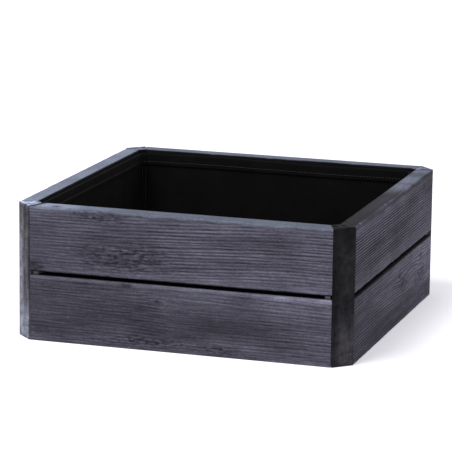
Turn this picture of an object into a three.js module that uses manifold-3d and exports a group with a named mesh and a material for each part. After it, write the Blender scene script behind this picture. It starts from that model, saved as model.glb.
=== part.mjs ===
// A square garden planter that slots together: two courses of boards stand between four corner posts.
// Each board end is mitred and carries a dovetail tongue, which slides down a groove in its post.
// Pegged spacers hold the courses apart, and a felt bag lines the inside.
// Millimetres, +Z up, front towards -Y, origin on the ground under the middle of the planter.

import * as THREE from 'three';
import { mergeVertices } from 'three/addons/utils/BufferGeometryUtils.js';
import Module from 'manifold-3d';

const wasm = await Module();
wasm.setup();

// Driving dimensions

const PLANTER_WIDTH = 600;       // outside, left to right
const PLANTER_DEPTH = 600;       // outside, front to back

const BOARD_HEIGHT = 115;
const BOARD_THICKNESS = 32;
const BOARD_EASE = 4.5;          // radius on the arrises at the rim and the course gap
const EDGE_EASE = 2;             // radius on those inside the planter and on the ground
const COURSE_GAP = 6;            // open joint between the courses

const POST_INNER_FACE = 16;      // width of the narrow face inside the planter
const POST_ARRIS = 2;            // flat taken off the two outer edges
const POST_WEB = 7;              // wood left between the two grooves
const GROOVE_STOP = 15;          // the grooves end this far above the ground

const TONGUE_NECK = 12;          // thickness of the tongue where it leaves the board
const TONGUE_FLARE = 2;          // how far each cheek leans out towards the head
const TONGUE_ROUND = 3;          // radius on the two edges of the head
const TONGUE_SETBACK = 1;        // the tongue stops this far below the board's top

const SPACER_WIDTH = 9;          // along the board
const SPACER_EDGE = 6;           // from the board's faces to the spacer
const SPACER_INSET = 1.5;        // from the board's mitred end to the spacer
const PEG_DIAMETER = 5;
const PEG_DEPTH = 22;            // into each board
const PEG_TIP = 1;               // chamfer on the peg's ends

const LINER_WALL = 2;
const LINER_DROP = 4;            // from the rim down to the liner's top

const MITRE_GAP = 0.6;           // open joint between a board's end and its post
const SLIDE_CLEARANCE = 0.3;     // round a tongue, a peg and between stacked faces
const LINER_CLEARANCE = 0.5;     // between the liner and the wood

const COURSES = ['lower', 'upper'];
const STAINED_WOOD = { color: 0x4c4b55, roughness: 0.8, metalness: 0 };
const STAINED_POST = { color: 0x3b3a40, roughness: 0.8, metalness: 0 };
const GREY_PEG = { color: 0x55545c, roughness: 0.6, metalness: 0 };
const BLACK_FELT = { color: 0x0c0c0d, roughness: 0.95, metalness: 0 };

// Sizes that follow from them

const MITRE = Math.PI / 8;       // half the turn from a side to its corner face
const RIM_HEIGHT = COURSES.length * BOARD_HEIGHT + (COURSES.length - 1) * COURSE_GAP;
const POST_OUTER_FACE = POST_INNER_FACE + 2 * BOARD_THICKNESS * Math.tan(MITRE);
const CORNER_LEG = POST_OUTER_FACE * Math.SQRT1_2;
const TONGUE_HEAD = TONGUE_NECK + 2 * TONGUE_FLARE;
const POST_HALF_WIDTH = (POST_INNER_FACE + POST_OUTER_FACE) / 4;
const GROOVE_DEPTH = grooveDepth();
const TONGUE_DEPTH = GROOVE_DEPTH - SLIDE_CLEARANCE;
const TONGUE_FOOT = GROOVE_STOP + SLIDE_CLEARANCE;
const OVERRUN = 1;               // cutting tools run this far past the surface they cut
const ARC_STEPS = 4;
const PEG_SIDES = 16;

// The deepest groove that leaves the post's web, measured square to the mitred face
function grooveDepth() {
  const headReach = (TONGUE_HEAD / 2 + SLIDE_CLEARANCE) * Math.sin(MITRE);
  return (POST_HALF_WIDTH - POST_WEB / 2 - headReach) / Math.cos(MITRE);
}

// Solids from three.js geometry, and back

function solid(geometry) {
  const bare = geometry.clone();
  bare.deleteAttribute('normal');
  bare.deleteAttribute('uv');
  const merged = mergeVertices(bare, 1e-4);
  return new wasm.Manifold(new wasm.Mesh({
    numProp: 3,
    vertProperties: new Float32Array(merged.attributes.position.array),
    triVerts: new Uint32Array(merged.index.array),
  }));
}

function geometryOf(manifold) {
  const mesh = manifold.getMesh();
  const geometry = new THREE.BufferGeometry();
  geometry.setAttribute('position', new THREE.BufferAttribute(new Float32Array(mesh.vertProperties), 3));
  geometry.setIndex(new THREE.BufferAttribute(new Uint32Array(mesh.triVerts), 1));
  geometry.computeVertexNormals();
  return geometry;
}

function node(name, manifold, look) {
  const mesh = new THREE.Mesh(geometryOf(manifold), new THREE.MeshStandardMaterial(look));
  mesh.name = name;
  return mesh;
}

// An upright prism: a plan outline from one height to another
function prism(outline, bottom, top) {
  const shape = new THREE.Shape(outline);
  const geometry = new THREE.ExtrudeGeometry(shape, { depth: top - bottom, bevelEnabled: false });
  return solid(geometry.translate(0, 0, bottom));
}

// The joint between a board end and its post

// A point beside the mitred face on a piece's right-hand or left-hand side: along the face from its
// middle towards the inside of the planter, and square to the face, out of the board into the post
function besideMitre({ middle, intoPost, side }, along, out) {
  const x = middle.x - along * Math.sin(MITRE) + intoPost * out * Math.cos(MITRE);
  const y = middle.y + along * Math.cos(MITRE) + intoPost * out * Math.sin(MITRE);
  return new THREE.Vector2(side * x, y);
}

// The dovetail's plan outline, from a start on the board's side of the face to its rounded head,
// with its cheeks and head moved out by an allowance
function dovetail(face, start, allowance) {
  const neck = TONGUE_NECK / 2 + allowance;
  const head = TONGUE_HEAD / 2 + allowance;
  const depth = TONGUE_DEPTH + allowance;
  const round = Math.min(TONGUE_ROUND + allowance, head, depth / 2);
  const outline = [besideMitre(face, -neck, start), besideMitre(face, -neck, 0)];
  for (const cheek of [-1, 1]) {
    for (let step = 0; step <= ARC_STEPS; step += 1) {
      const turn = (cheek < 0 ? step : ARC_STEPS - step) * (Math.PI / 2 / ARC_STEPS);
      const along = head - round + round * Math.cos(turn);
      const out = depth - round + round * Math.sin(turn);
      outline.push(besideMitre(face, cheek * along, out));
    }
  }
  outline.push(besideMitre(face, neck, 0), besideMitre(face, neck, start));
  return outline;
}

// Boards, drawn with the outer face on y = 0, the length along x and the bottom on z = 0

// The post's mitred face beside a board's end
function boardFace(span, side) {
  const outerEnd = span / 2 - CORNER_LEG;
  const x = outerEnd - (BOARD_THICKNESS / 2) * Math.tan(MITRE);
  return { middle: new THREE.Vector2(x, BOARD_THICKNESS / 2), intoPost: 1, side };
}

// The board's end at a depth behind the outer face, moved back from the post's face by a distance
function endAt(span, depth, back) {
  return span / 2 - CORNER_LEG - depth * Math.tan(MITRE) - back / Math.cos(MITRE);
}

function boardPlan(span) {
  const outer = endAt(span, 0, MITRE_GAP);
  const inner = endAt(span, BOARD_THICKNESS, MITRE_GAP);
  return [
    new THREE.Vector2(-outer, 0),
    new THREE.Vector2(outer, 0),
    new THREE.Vector2(inner, BOARD_THICKNESS),
    new THREE.Vector2(-inner, BOARD_THICKNESS),
  ];
}

// The board's section, with its arrises rounded, run past both ends
function boardSection(span, course) {
  const most = Math.min(BOARD_THICKNESS, BOARD_HEIGHT) / 2;
  const ease = Math.min(BOARD_EASE, most);
  const edge = Math.min(EDGE_EASE, most);
  const foot = course > 0 ? ease : edge;
  const corners = [
    [BOARD_THICKNESS - edge, BOARD_HEIGHT - edge, edge],
    [ease, BOARD_HEIGHT - ease, ease],
    [foot, foot, foot],
    [BOARD_THICKNESS - edge, edge, edge],
  ];
  const outline = [];
  corners.forEach(([y, z, radius], quarter) => {
    for (let step = 0; step <= ARC_STEPS; step += 1) {
      const turn = (quarter + step / ARC_STEPS) * (Math.PI / 2);
      outline.push(new THREE.Vector2(y + radius * Math.cos(turn), z + radius * Math.sin(turn)));
    }
  });
  const geometry = new THREE.ExtrudeGeometry(new THREE.Shape(outline), { depth: span, bevelEnabled: false });
  // the outline's own x, y and z become y, z and x
  const turned = new THREE.Matrix4().makeBasis(
    new THREE.Vector3(0, 1, 0), new THREE.Vector3(0, 0, 1), new THREE.Vector3(1, 0, 0),
  );
  return solid(geometry.applyMatrix4(turned).translate(-span / 2, 0, 0));
}

// A peg's place along the board, at the middle of its thickness
function pegPlace(span) {
  return endAt(span, BOARD_THICKNESS / 2, MITRE_GAP + SPACER_INSET + SPACER_WIDTH / 2);
}

// A round peg on the Z axis, with chamfered ends
function peg(diameter, bottom, top, tip) {
  const radius = diameter / 2;
  const profile = [
    new THREE.Vector2(0, bottom),
    new THREE.Vector2(radius - tip, bottom),
    new THREE.Vector2(radius, bottom + tip),
    new THREE.Vector2(radius, top - tip),
    new THREE.Vector2(radius - tip, top),
    new THREE.Vector2(0, top),
  ];
  return solid(new THREE.LatheGeometry(profile, PEG_SIDES).rotateX(Math.PI / 2));
}

function pegHole(span, side, bottom, top) {
  const hole = new THREE.CylinderGeometry(
    PEG_DIAMETER / 2 + SLIDE_CLEARANCE, PEG_DIAMETER / 2 + SLIDE_CLEARANCE, top - bottom, PEG_SIDES,
  );
  hole.rotateX(Math.PI / 2);
  hole.translate(side * pegPlace(span), BOARD_THICKNESS / 2, (bottom + top) / 2);
  return solid(hole);
}

function board(span, course) {
  const holeDepth = PEG_DEPTH + SLIDE_CLEARANCE;
  let body = prism(boardPlan(span), 0, BOARD_HEIGHT).intersect(boardSection(span, course));
  for (const side of [-1, 1]) {
    const tongue = dovetail(boardFace(span, side), -MITRE_GAP - TONGUE_NECK / 2, 0);
    body = body.add(prism(tongue, TONGUE_FOOT, BOARD_HEIGHT - TONGUE_SETBACK));
    if (course > 0) {
      body = body.subtract(pegHole(span, side, -OVERRUN, holeDepth));
    }
    if (course < COURSES.length - 1) {
      body = body.subtract(pegHole(span, side, BOARD_HEIGHT - holeDepth, BOARD_HEIGHT + OVERRUN));
    }
  }
  return body;
}

// A spacer lies on a board's top, beside its mitred end, with a peg into the boards below and above it
function spacer(span, side) {
  const near = MITRE_GAP + SPACER_INSET;
  const far = near + SPACER_WIDTH;
  const front = SPACER_EDGE;
  const rear = BOARD_THICKNESS - SPACER_EDGE;
  const plan = [
    new THREE.Vector2(side * endAt(span, front, near), front),
    new THREE.Vector2(side * endAt(span, rear, near), rear),
    new THREE.Vector2(side * endAt(span, rear, far), rear),
    new THREE.Vector2(side * endAt(span, front, far), front),
  ];
  const pad = prism(plan, SLIDE_CLEARANCE, COURSE_GAP - SLIDE_CLEARANCE);
  const pin = peg(PEG_DIAMETER, -PEG_DEPTH, COURSE_GAP + PEG_DEPTH, PEG_TIP);
  return pad.add(pin.translate([side * pegPlace(span), BOARD_THICKNESS / 2, 0]));
}

// A corner post, drawn with the outer face on y = 0 and its middle on x = 0

function cornerPost() {
  const outer = POST_OUTER_FACE / 2;
  const inner = POST_INNER_FACE / 2;
  const arris = POST_ARRIS;
  const plan = [
    new THREE.Vector2(-outer + arris, 0),
    new THREE.Vector2(outer - arris, 0),
    new THREE.Vector2(outer - arris * Math.sin(MITRE), arris * Math.cos(MITRE)),
    new THREE.Vector2(inner, BOARD_THICKNESS),
    new THREE.Vector2(-inner, BOARD_THICKNESS),
    new THREE.Vector2(-outer + arris * Math.sin(MITRE), arris * Math.cos(MITRE)),
  ];
  let body = prism(plan, 0, RIM_HEIGHT);
  for (const side of [-1, 1]) {
    const groove = dovetail(postFace(side), -OVERRUN, SLIDE_CLEARANCE);
    body = body.subtract(prism(groove, GROOVE_STOP, RIM_HEIGHT + OVERRUN));
  }
  return body;
}

// The same mitred face, seen from the post
function postFace(side) {
  return { middle: new THREE.Vector2(POST_HALF_WIDTH, BOARD_THICKNESS / 2), intoPost: -1, side };
}

// The liner, an open bag that follows the boards and the posts' inner faces

function linerPlan(inset) {
  const x = PLANTER_WIDTH / 2 - BOARD_THICKNESS - inset;
  const y = PLANTER_DEPTH / 2 - BOARD_THICKNESS - inset;
  const reach = (PLANTER_WIDTH + PLANTER_DEPTH) / 2 - CORNER_LEG - Math.SQRT2 * (BOARD_THICKNESS + inset);
  const cut = x + y - reach;
  return [
    new THREE.Vector2(x, y - cut),
    new THREE.Vector2(x - cut, y),
    new THREE.Vector2(-x + cut, y),
    new THREE.Vector2(-x, y - cut),
    new THREE.Vector2(-x, -y + cut),
    new THREE.Vector2(-x + cut, -y),
    new THREE.Vector2(x - cut, -y),
    new THREE.Vector2(x, -y + cut),
  ];
}

function liner() {
  const top = RIM_HEIGHT - LINER_DROP;
  const outside = prism(linerPlan(LINER_CLEARANCE), 0, top);
  const inside = prism(linerPlan(LINER_CLEARANCE + LINER_WALL), LINER_WALL, top + OVERRUN);
  return outside.subtract(inside);
}

// The planter

const planter = new THREE.Group();

const SIDES = [
  { name: 'front', span: PLANTER_WIDTH, reach: PLANTER_DEPTH / 2, quarter: 0 },
  { name: 'right', span: PLANTER_DEPTH, reach: PLANTER_WIDTH / 2, quarter: 1 },
  { name: 'back', span: PLANTER_WIDTH, reach: PLANTER_DEPTH / 2, quarter: 2 },
  { name: 'left', span: PLANTER_DEPTH, reach: PLANTER_WIDTH / 2, quarter: 3 },
];

for (const { name, span, reach, quarter } of SIDES) {
  const turn = quarter * (Math.PI / 2);
  const panel = new THREE.Group();
  panel.rotation.z = turn;
  panel.position.set(reach * Math.sin(turn), -reach * Math.cos(turn), 0);
  COURSES.forEach((courseName, course) => {
    const bottom = course * (BOARD_HEIGHT + COURSE_GAP);
    const plank = node(`${courseName}_board_${name}`, board(span, course), STAINED_WOOD);
    plank.position.z = bottom;
    panel.add(plank);
    if (course < COURSES.length - 1) {
      for (const [hand, side] of [['a', -1], ['b', 1]]) {
        const pad = node(`course_spacer_${name}_${hand}`, spacer(span, side), GREY_PEG);
        pad.position.z = bottom + BOARD_HEIGHT;
        panel.add(pad);
      }
    }
  });
  planter.add(panel);
}

const CORNERS = [
  { name: 'front_right', x: 1, y: -1, quarter: 0 },
  { name: 'back_right', x: 1, y: 1, quarter: 1 },
  { name: 'back_left', x: -1, y: 1, quarter: 2 },
  { name: 'front_left', x: -1, y: -1, quarter: 3 },
];

for (const { name, x, y, quarter } of CORNERS) {
  const post = node(`corner_post_${name}`, cornerPost(), STAINED_POST);
  post.rotation.z = Math.PI / 4 + quarter * (Math.PI / 2);
  post.position.set(
    x * (PLANTER_WIDTH - CORNER_LEG) / 2,
    y * (PLANTER_DEPTH - CORNER_LEG) / 2,
    0,
  );
  planter.add(post);
}

planter.add(node('liner_bag', liner(), BLACK_FELT));

export default planter;
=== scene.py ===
import math

import bpy
import numpy as np
from mathutils import Euler, Matrix, Vector


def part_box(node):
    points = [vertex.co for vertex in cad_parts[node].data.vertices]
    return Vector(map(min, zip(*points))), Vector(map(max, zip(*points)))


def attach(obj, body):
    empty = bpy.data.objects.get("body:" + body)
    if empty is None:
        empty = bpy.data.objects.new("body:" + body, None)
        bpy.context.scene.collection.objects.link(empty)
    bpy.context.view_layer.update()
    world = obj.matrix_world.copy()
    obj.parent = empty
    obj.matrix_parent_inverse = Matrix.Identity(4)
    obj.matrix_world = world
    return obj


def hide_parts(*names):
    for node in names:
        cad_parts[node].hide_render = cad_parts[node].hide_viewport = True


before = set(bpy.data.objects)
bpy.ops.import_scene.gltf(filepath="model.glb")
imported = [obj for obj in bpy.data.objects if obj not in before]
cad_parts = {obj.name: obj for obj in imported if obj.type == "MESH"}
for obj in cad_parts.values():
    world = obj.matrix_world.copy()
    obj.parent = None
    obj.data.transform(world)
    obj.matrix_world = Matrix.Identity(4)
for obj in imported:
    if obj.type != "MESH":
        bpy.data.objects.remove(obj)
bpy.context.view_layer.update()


# Corner posts
# Four full-height softwood posts, a trapezoid in plan, planed, sanded and stained.
# Both mitred sides carry a dovetail groove, stopped above the ground, that takes the boards' tongues.

MM = 0.001
MITRE = math.pi / 8
BOARD_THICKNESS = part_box("upper_board_front")[1].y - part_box("upper_board_front")[0].y
HALF_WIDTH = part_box("upper_board_right")[1].x
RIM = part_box("corner_post_front_right")[1].z
POST_INNER_FACE = 16 * MM
POST_WEB = 7 * MM
POST_OUTER_FACE = POST_INNER_FACE + 2 * BOARD_THICKNESS * math.tan(MITRE)
POST_MIDDLE = (POST_INNER_FACE + POST_OUTER_FACE) / 4
CORNER_LEG = POST_OUTER_FACE * math.sqrt(0.5)
GROOVE_STOP = 15 * MM
TONGUE_NECK = 12 * MM
TONGUE_FLARE = 2 * MM
TONGUE_ROUND = 3 * MM
SLIDE_CLEARANCE = 0.3 * MM
HEAD_REACH = (TONGUE_NECK / 2 + TONGUE_FLARE + SLIDE_CLEARANCE) * math.sin(MITRE)
TONGUE_DEPTH = (POST_MIDDLE - POST_WEB / 2 - HEAD_REACH) / math.cos(MITRE) - SLIDE_CLEARANCE
OVERRUN = 2 * MM
ARC_STEPS = 4
CORNER_ROOM = 0.9


def rounded_outline(corners, radii, steps):
    """A closed outline, counter-clockwise, with rounded corners. Each point comes with the direction that
    faces out and with the room it has to be drawn in before its corner folds over. The side that follows
    a corner is divided into lengths of about that corner's step."""
    points = []
    outward = []
    room = []
    corners = [Vector(corner) for corner in corners]
    arcs = []
    for index, here in enumerate(corners):
        before = (here - corners[index - 1]).normalized()
        after = (corners[(index + 1) % len(corners)] - here).normalized()
        turn = math.atan2(before.x * after.y - before.y * after.x, before.dot(after))
        start = here - before * radii[index] * math.tan(turn / 2)
        centre = start + Vector((-before.y, before.x)) * radii[index]
        facing = math.atan2(-before.x, before.y)
        arcs.append((centre, facing, turn, radii[index]))
    for index, (centre, facing, turn, radius) in enumerate(arcs):
        for angle in np.linspace(facing, facing + turn, ARC_STEPS + 1):
            normal = Vector((math.cos(angle), math.sin(angle)))
            points.append(centre + normal * radius)
            outward.append(normal)
            room.append(CORNER_ROOM * radius)
        next_centre, next_facing, _, next_radius = arcs[(index + 1) % len(arcs)]
        next_normal = Vector((math.cos(next_facing), math.sin(next_facing)))
        start, end = points[-1], next_centre + next_normal * next_radius
        pieces = max(1, round((end - start).length / steps[index]))
        for piece in range(1, pieces):
            points.append(start.lerp(end, piece / pieces))
            outward.append(next_normal)
            room.append(math.inf)
    return np.array(points), np.array(outward), np.array(room)


def eased_stations(length, step, ease):
    """Distances along a piece from end to end, and how far its eased ends draw in at each."""
    turns = np.linspace(math.pi / 2, 0, ARC_STEPS + 1)
    near = ease * (1 - np.sin(turns))
    drawn = ease * (1 - np.cos(turns))
    pieces = round((length - 2 * ease) / step)
    middle = np.linspace(ease, length - ease, pieces + 1)[1:-1]
    along = np.concatenate([near, middle, length - near[::-1]])
    inset = np.concatenate([drawn, np.zeros(len(middle)), drawn[::-1]])
    return along, inset


def skin(rows, count, first=0):
    """The faces over a row of loops, with a flat face at each end. The points are numbered from the first.
    The loops turn counter-clockwise as seen from the last of them, so that the faces point out."""
    faces = []
    for row in range(rows - 1):
        low, high = first + row * count, first + (row + 1) * count
        for here in range(count):
            after = (here + 1) % count
            faces.append((low + here, low + after, high + after, high + here))
    faces.append(tuple(range(first + count - 1, first - 1, -1)))
    faces.append(tuple(range(first + (rows - 1) * count, first + rows * count)))
    return faces


def mesh_piece(name, points, faces):
    """A piece in the scene, made of those points and faces."""
    mesh = bpy.data.meshes.new(name)
    mesh.from_pydata(points, [], faces)
    piece = bpy.data.objects.new(name, mesh)
    bpy.context.scene.collection.objects.link(piece)
    return piece


def loft(name, loops):
    """A closed piece skinned over a row of loops."""
    rows, count = loops.shape[:2]
    return mesh_piece(name, loops.reshape(-1, 3).tolist(), skin(rows, count))


def prism(outline, bottom, top):
    """An upright block with that plan outline."""
    outline = np.array(outline)
    loops = [np.column_stack([outline, np.full(len(outline), height)]) for height in (bottom, top)]
    return loft("block", np.array(loops))


def carve(piece, block, operation):
    """Joins a block to a piece or cuts it out of it."""
    change = piece.modifiers.new("carve", "BOOLEAN")
    change.operation = operation
    change.solver = "MANIFOLD"
    change.object = block
    shaped = piece.evaluated_get(bpy.context.evaluated_depsgraph_get())
    carved = bpy.data.meshes.new_from_object(shaped)
    piece.modifiers.clear()
    piece.data = carved
    bpy.data.objects.remove(block)


def dovetail(start, allowance):
    """The tongue's outline at the mitred face, as distances along the face and out of the board,
    with its cheeks and head moved out by an allowance."""
    neck = TONGUE_NECK / 2 + allowance
    head = neck + TONGUE_FLARE
    depth = TONGUE_DEPTH + allowance
    edge = TONGUE_ROUND + allowance
    cheek = [(neck, start), (neck, 0.0)]
    for turn in np.linspace(0, math.pi / 2, ARC_STEPS + 1):
        cheek.append((head - edge + edge * math.cos(turn), depth - edge + edge * math.sin(turn)))
    return cheek + [(-along, out) for along, out in reversed(cheek)]


def beside_mitre(outline, middle, into_post, side):
    """That outline in plan, on the right-hand or left-hand end of a piece, counter-clockwise."""
    sine, cosine = math.sin(MITRE), math.cos(MITRE)
    placed = []
    for along, out in outline:
        x = middle - along * sine + into_post * out * cosine
        y = BOARD_THICKNESS / 2 + along * cosine + into_post * out * sine
        placed.append((side * x, y))
    return placed if side * into_post < 0 else placed[::-1]


def smooth_noise(seed, u, v):
    """Seeded noise from 0 to 1 that changes smoothly over each whole step of u and of v."""
    size = 64
    values = np.random.default_rng(seed).random((size, size))
    left, low = np.floor(u).astype(int), np.floor(v).astype(int)
    right, high = (left + 1) % size, (low + 1) % size
    across, up = u - left, v - low
    across, up = across * across * (3 - 2 * across), up * up * (3 - 2 * up)
    left, low = left % size, low % size
    below = values[left, low] * (1 - across) + values[right, low] * across
    above = values[left, high] * (1 - across) + values[right, high] * across
    return below * (1 - up) + above * up


def patches(seed, first, second, sizes):
    """Smooth noise over two distances, in patches of about the two sizes."""
    return smooth_noise(seed, first / sizes[0], second / sizes[1])


# How the grain grows
FRAYED_EVERYWHERE = 0.12
BEND_REACH = 25 * MM
FLAME_TIP = 0.1
FLAME_FLANK = 1.6
KNOT_PULL_ALONG = 3.2
KNOT_PULL_ACROSS = 2.2
SLOW_WAVER = 7 * MM
SLOW_WAVER_PATCH = (150 * MM, 60 * MM)
QUICK_WAVER = 1.5 * MM
QUICK_WAVER_PATCH = (34 * MM, 9 * MM)
JOG_LENGTH = 36 * MM
JOG_STAGGER = 1.6
JOG_BAND = 22 * MM
JOG_SPREAD = 45 * MM
JOG_RAMP = 0.25
SLOW_UNEVEN = 2.5 * MM
SLOW_UNEVEN_PATCH = (17 * MM, 500 * MM)
NARROW_EVERY = 1.45
NARROW_LENGTH = 240 * MM


def frayed(timber, along, across):
    """How frayed the face is at each point: a little everywhere, and fully amid a frayed patch."""
    share = np.full(np.broadcast_shapes(np.shape(along), np.shape(across)), FRAYED_EVERYWHERE)
    for start, level, reach, rise in timber["frays"]:
        share = np.maximum(share, np.exp(-((along - start) / reach) ** 2 - ((across - level) / rise) ** 2))
    return share


def jogs(timber, along, across):
    """How far the rings of a frayed face jog up or down. Each jog is held for a few centimetres."""
    seed = timber["seed"]
    cell = along / JOG_LENGTH + JOG_STAGGER * smooth_noise(seed + 7, across / JOG_BAND, np.zeros(1))
    held = np.floor(cell) + np.clip((cell % 1 - 1) / JOG_RAMP + 1, 0, 1)
    height = timber["jog"] * timber["ring"] * frayed(timber, along, across)
    return height * smooth_noise(seed + 8, held, across / JOG_SPREAD)


def growth(timber, along, depth, across):
    """The growth ring that each point of a timber lies in, counted from the pith, and how near a knot it
    is. The rings bend, open into flames and close round knots, waver along the timber and differ in
    width."""
    seed, ring = timber["seed"], timber["ring"]
    bent = across
    for start, slope in timber["bends"]:
        bent = bent + slope * BEND_REACH * np.logaddexp(0, (along - start) / BEND_REACH)
    for start, height, width, length in timber["flames"]:
        opening = 1 / (1 + np.exp((start - along) / (FLAME_TIP * length)))
        closing = np.exp(-(np.clip(along - start, 0, None) / length) ** 2)
        bent = bent - width * np.tanh((across - height) / (FLAME_FLANK * width)) * opening * closing
    knot = np.zeros(np.broadcast_shapes(np.shape(along), np.shape(across)))
    for start, height, reach, rise, pull in timber["knots"]:
        far, up = (along - start) / reach, (across - height) / rise
        drawn = np.exp(-(far / KNOT_PULL_ALONG) ** 2 - (up / KNOT_PULL_ACROSS) ** 2)
        bent = bent - (bent - height) * pull * drawn
        knot = np.maximum(knot, np.exp(-far * far - up * up))
    pith_depth, pith_height = timber["pith"]
    radius = np.hypot(depth - pith_depth, bent - pith_height)
    drift = timber["waver"] * SLOW_WAVER * patches(seed, along, across, SLOW_WAVER_PATCH)
    drift = drift + timber["waver"] * QUICK_WAVER * patches(seed + 1, along, across, QUICK_WAVER_PATCH)
    drift = drift + jogs(timber, along, across)
    uneven = SLOW_UNEVEN * patches(seed + 4, radius, along, SLOW_UNEVEN_PATCH)
    narrow = patches(seed + 11, radius, along, (NARROW_EVERY * ring, NARROW_LENGTH))
    narrow = timber["unequal"] * ring * narrow
    return (radius + drift + uneven + narrow) / ring, knot


# How brushing wears the grain, as heights from 0 in the hollows to 1 on the ribs
LATE_WOOD = 0.66
RING_SKIP = 0.71
FAINT_RIB = 0.4
STRONG_RIB = 1.04
BREAK_LENGTH = 11 * MM
BREAK_WIDTH = 9 * MM
BREAK_START = 0.375
BREAK_CONTRAST = 2.4
MIDDLE_HEIGHT = 0.4
PLANED_HEIGHT = 0.68
PLANED_LEAST = 0.25


def relief(timber, along, depth, across):
    """How far brushed wood stands up, from 0 in the worn early wood to 1 on the late wood, and the knots.
    It climbs slowly into the late wood, drops off, and comes and goes in stretches along each ring."""
    rings, knot = growth(timber, along, depth, across)
    part = rings % 1
    rising = np.where(part < LATE_WOOD, part / LATE_WOOD, (1 - part) / (1 - LATE_WOOD))
    crest = rising * rising * (3 - 2 * rising)
    ring = np.floor(rings) * RING_SKIP
    stretch = smooth_noise(timber["seed"] + 2, along / timber["stretch"], ring)
    height = crest * (FAINT_RIB + (STRONG_RIB - FAINT_RIB) * stretch)
    fibres = smooth_noise(timber["seed"] + 5, along / BREAK_LENGTH, ring + across / BREAK_WIDTH)
    broken = np.clip(BREAK_CONTRAST * (fibres - BREAK_START), 0, 1)
    height = height * (1 - frayed(timber, along, across) * broken)
    height = MIDDLE_HEIGHT + (height - MIDDLE_HEIGHT) * np.interp(along, *zip(*timber["ribbed"]))
    for edge, width in timber["smooth"]:
        near = np.clip(np.abs(across - edge) / width, PLANED_LEAST, 1)
        height = PLANED_HEIGHT - (PLANED_HEIGHT - height) * near
    return height, knot


# How the stain has weathered, with the sky's sheen and the shade painted into it
CLOUDED = 0.18
CLOUD_PATCH = (60 * MM, 26 * MM)
RAGGED = 0.3
RAGGED_PATCH = (8 * MM, 9 * MM)
BLEACH_FADE = 1.5 * MM
TOP_FADE = 0.9 * MM
TONGUE_START = 0.8 * MM
END_REACH = 1.4 * MM
STREAK_FADE = 12 * MM
STREAK_STRAY = 5 * MM
STRAY_PATCH = (24 * MM, 40 * MM)
NICK_STRETCH = 2
# Painted shade: on the inside faces, along the ground as a contact shadow, and behind the arrises at the
# course gap
INSIDE_REACH = 2.16 * MM
INSIDE_FADE = 1.2 * MM
GROUND_SHADE = 0.35
GROUND_REACH = 2 * MM
GAP_EDGE = 3
PAINTED_SHADE_DARKENS = 0.94


def weathered_and_painted_light(timber, along, depth, across, level):
    """The stain's tone, above 1 where it is paler, and how far it has bleached, which also paints the sky's
    sheen on the top. The tone is cloudy, changes from end to end and differs at the mitred ends. The top
    bleaches down to a ragged edge, in a tone of its own, whose dark stretches paint shadows and the shade in
    the joints."""
    seed = timber["seed"]
    start, end = timber["tone"]
    share = (along - along.min()) / (along.max() - along.min())
    cloud = patches(seed + 3, along, across, CLOUD_PATCH)
    tone = (start + (end - start) * share) * (1 + CLOUDED * (2 * cloud - 1))
    edge = patches(seed + 10, along, depth, RAGGED_PATCH)
    ragged = timber["worn"] * (1 + RAGGED * (2 * edge - 1))
    # The top's paleness is weathering with the sky's sheen painted over it
    open_sky = np.clip((level - level.max() + ragged) / BLEACH_FADE + 0.5, 0, 1)
    mitred = along + np.sign(along) * depth * math.tan(MITRE)
    short_of_post = HALF_WIDTH - CORNER_LEG - np.abs(mitred)
    on_tongue = short_of_post < TONGUE_START
    on_top = np.where(on_tongue, 1, np.clip((level - level.max()) / TOP_FADE + 1, 0, 1))
    mitred = np.where(on_tongue, np.sign(along) * HALF_WIDTH, mitred)
    places_along, paler, top_tone = zip(*timber["top_weather_and_light"])
    bleach_and_sheen = open_sky * np.interp(mitred, places_along, paler)
    tone = tone * (1 + on_top * (np.interp(mitred, places_along, top_tone) - 1))
    # At the mitred ends a darker tone paints the shade in the joint, and a paler one a highlight on the end's
    # arris
    at_end = np.exp(-(short_of_post / END_REACH) ** 2) * (1 - on_top)
    tone = tone * (1 + at_end * (np.where(along < 0, *timber["ends"]) - 1))
    return tone, bleach_and_sheen


def streaked(timber, along, across, tone, bleach_and_sheen):
    """The tone and the bleaching with a timber's own streaks, which stray a little across the grain."""
    stray = STREAK_STRAY * (patches(timber["seed"] + 9, along, across, STRAY_PATCH) - 0.5)
    for middle, width, low, high, change, paler in timber["streaks"]:
        begun = 1 / (1 + np.exp((low - along) / STREAK_FADE))
        ended = 1 / (1 + np.exp((along - high) / STREAK_FADE))
        within = begun * ended * np.exp(-((across + stray - middle) / width) ** 2)
        tone = tone * (1 + change * within)
        bleach_and_sheen = np.maximum(bleach_and_sheen, paler * within)
    return tone, bleach_and_sheen


def nicked(timber, along, depth, across, tone, bleach_and_sheen):
    """The tone and the bleaching with a timber's nicks, which are dark, or pale where they are fresh."""
    for nick_along, nick_depth, nick_across, reach, change in timber["nicks"]:
        away = ((along - nick_along) / NICK_STRETCH) ** 2
        away = away + (depth - nick_depth) ** 2 + (across - nick_across) ** 2
        within = np.exp(-away / reach ** 2)
        tone = tone * (1 + change * within)
        bleach_and_sheen = bleach_and_sheen + (1 - bleach_and_sheen) * within * (change > 0)
    return tone, bleach_and_sheen


def painted_shade_share(timber, depth, level, covered, grounded):
    """How far shade is painted on the wood: inside the planter, along the ground as a contact shadow, and
    behind the arrises at the course gap, which is at the covered height."""
    painted_shade = np.clip((depth - BOARD_THICKNESS + INSIDE_REACH) / INSIDE_FADE, 0, 1)
    if grounded:
        painted_shade = np.maximum(painted_shade, GROUND_SHADE * np.exp(-(level / GROUND_REACH) ** 2))
    if covered is not None:
        height_reach, behind = timber["painted_shade"]
        near_gap = np.clip(GAP_EDGE * (1 - np.abs(level - covered) / height_reach), 0, 1)
        painted_shade = np.maximum(painted_shade, near_gap * np.clip(depth / behind - 1, 0, 1))
    return painted_shade


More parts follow.
